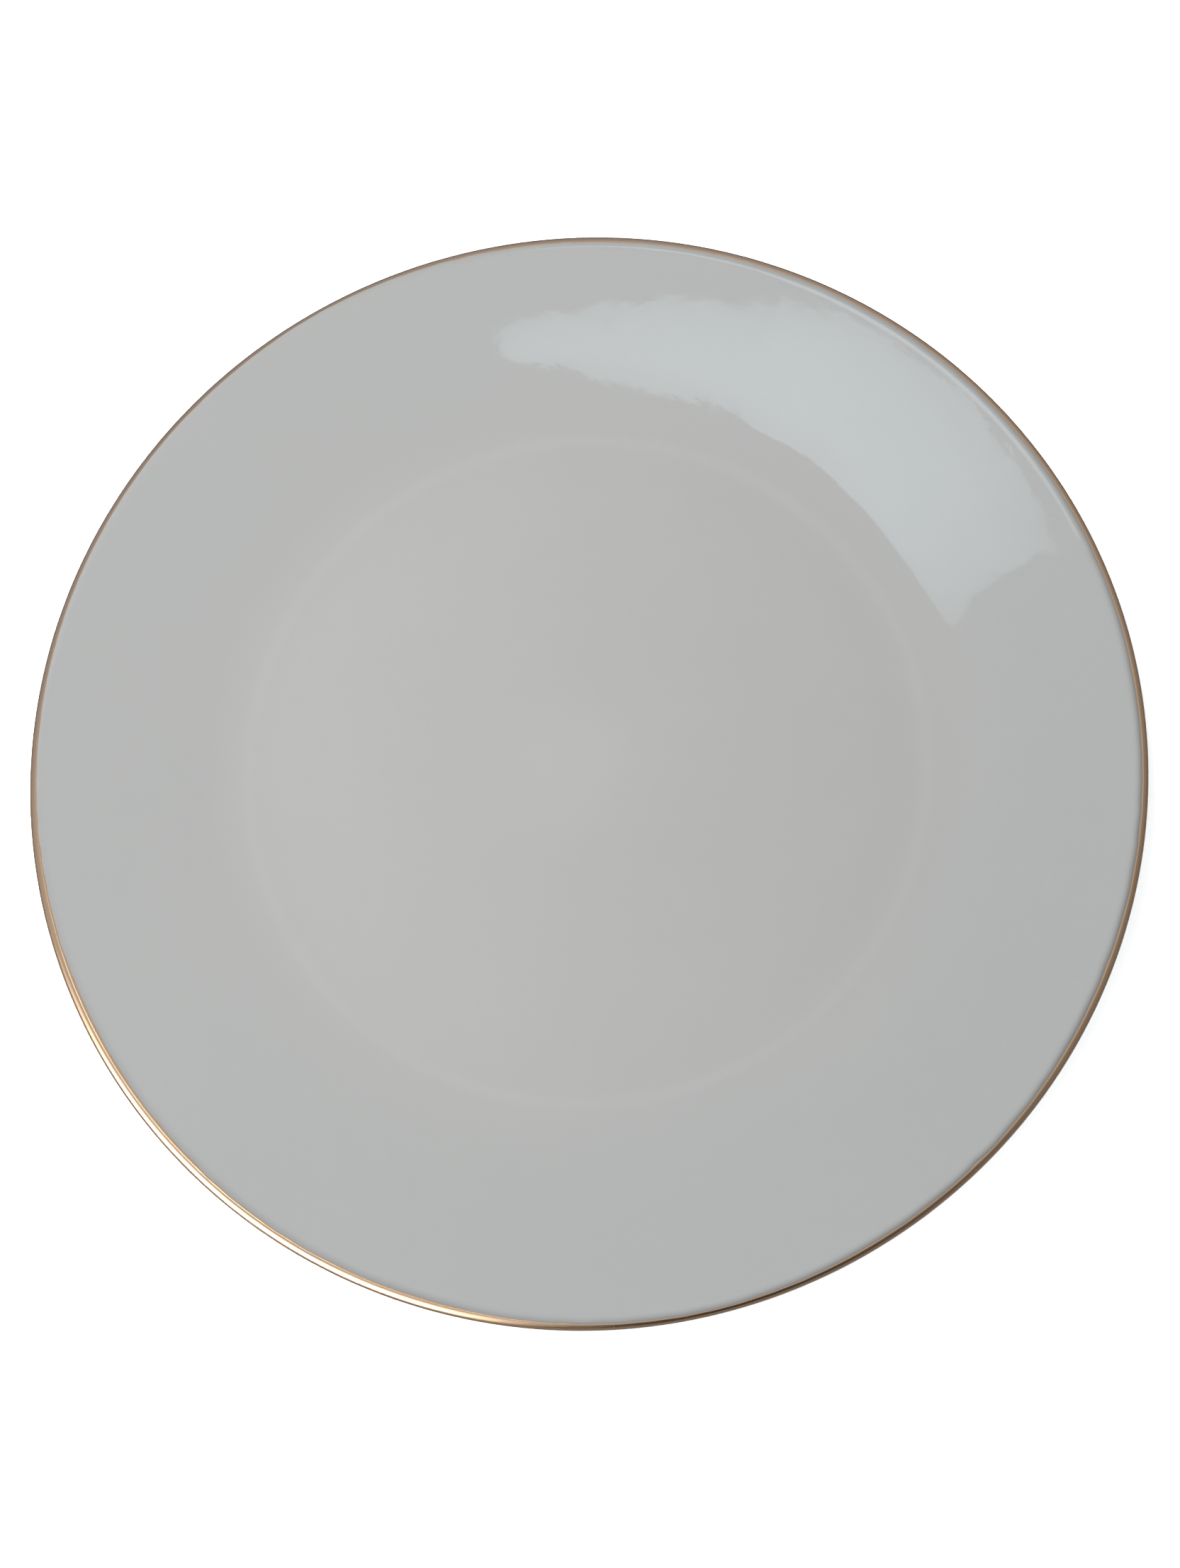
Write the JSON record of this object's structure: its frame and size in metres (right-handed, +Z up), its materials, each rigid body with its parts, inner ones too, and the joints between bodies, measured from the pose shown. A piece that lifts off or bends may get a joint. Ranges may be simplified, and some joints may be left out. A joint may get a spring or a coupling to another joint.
{
  "type": "dinner plate",
  "caption": "Round coupe dinner plate in glazed white porcelain, with a shallow curved well, a foot ring and a thin gold line round the lip.",
  "frame": {"origin": "on the plate's axis, in the plane of the foot's ground face", "axes": "+Z up, out of the plate's well, along the axis of the round plate; X and Y are any two directions across it, as the plate is the same all round"},
  "size_m": [0.267, 0.267, 0.025],
  "materials": {
    "bisque": "bare fired porcelain, fine matt grain, shown only on the ground foot face",
    "glaze": "clear gloss glaze over white porcelain",
    "gold": "fired bright gold, banded by hand, slightly worn"
  },
  "bodies": {
    "root": {"porcelain_body": "bisque", "glaze_coat": "glaze", "foot_well_glaze": "glaze", "gold_rim_line": "gold"}
  },
  "joints": []
}
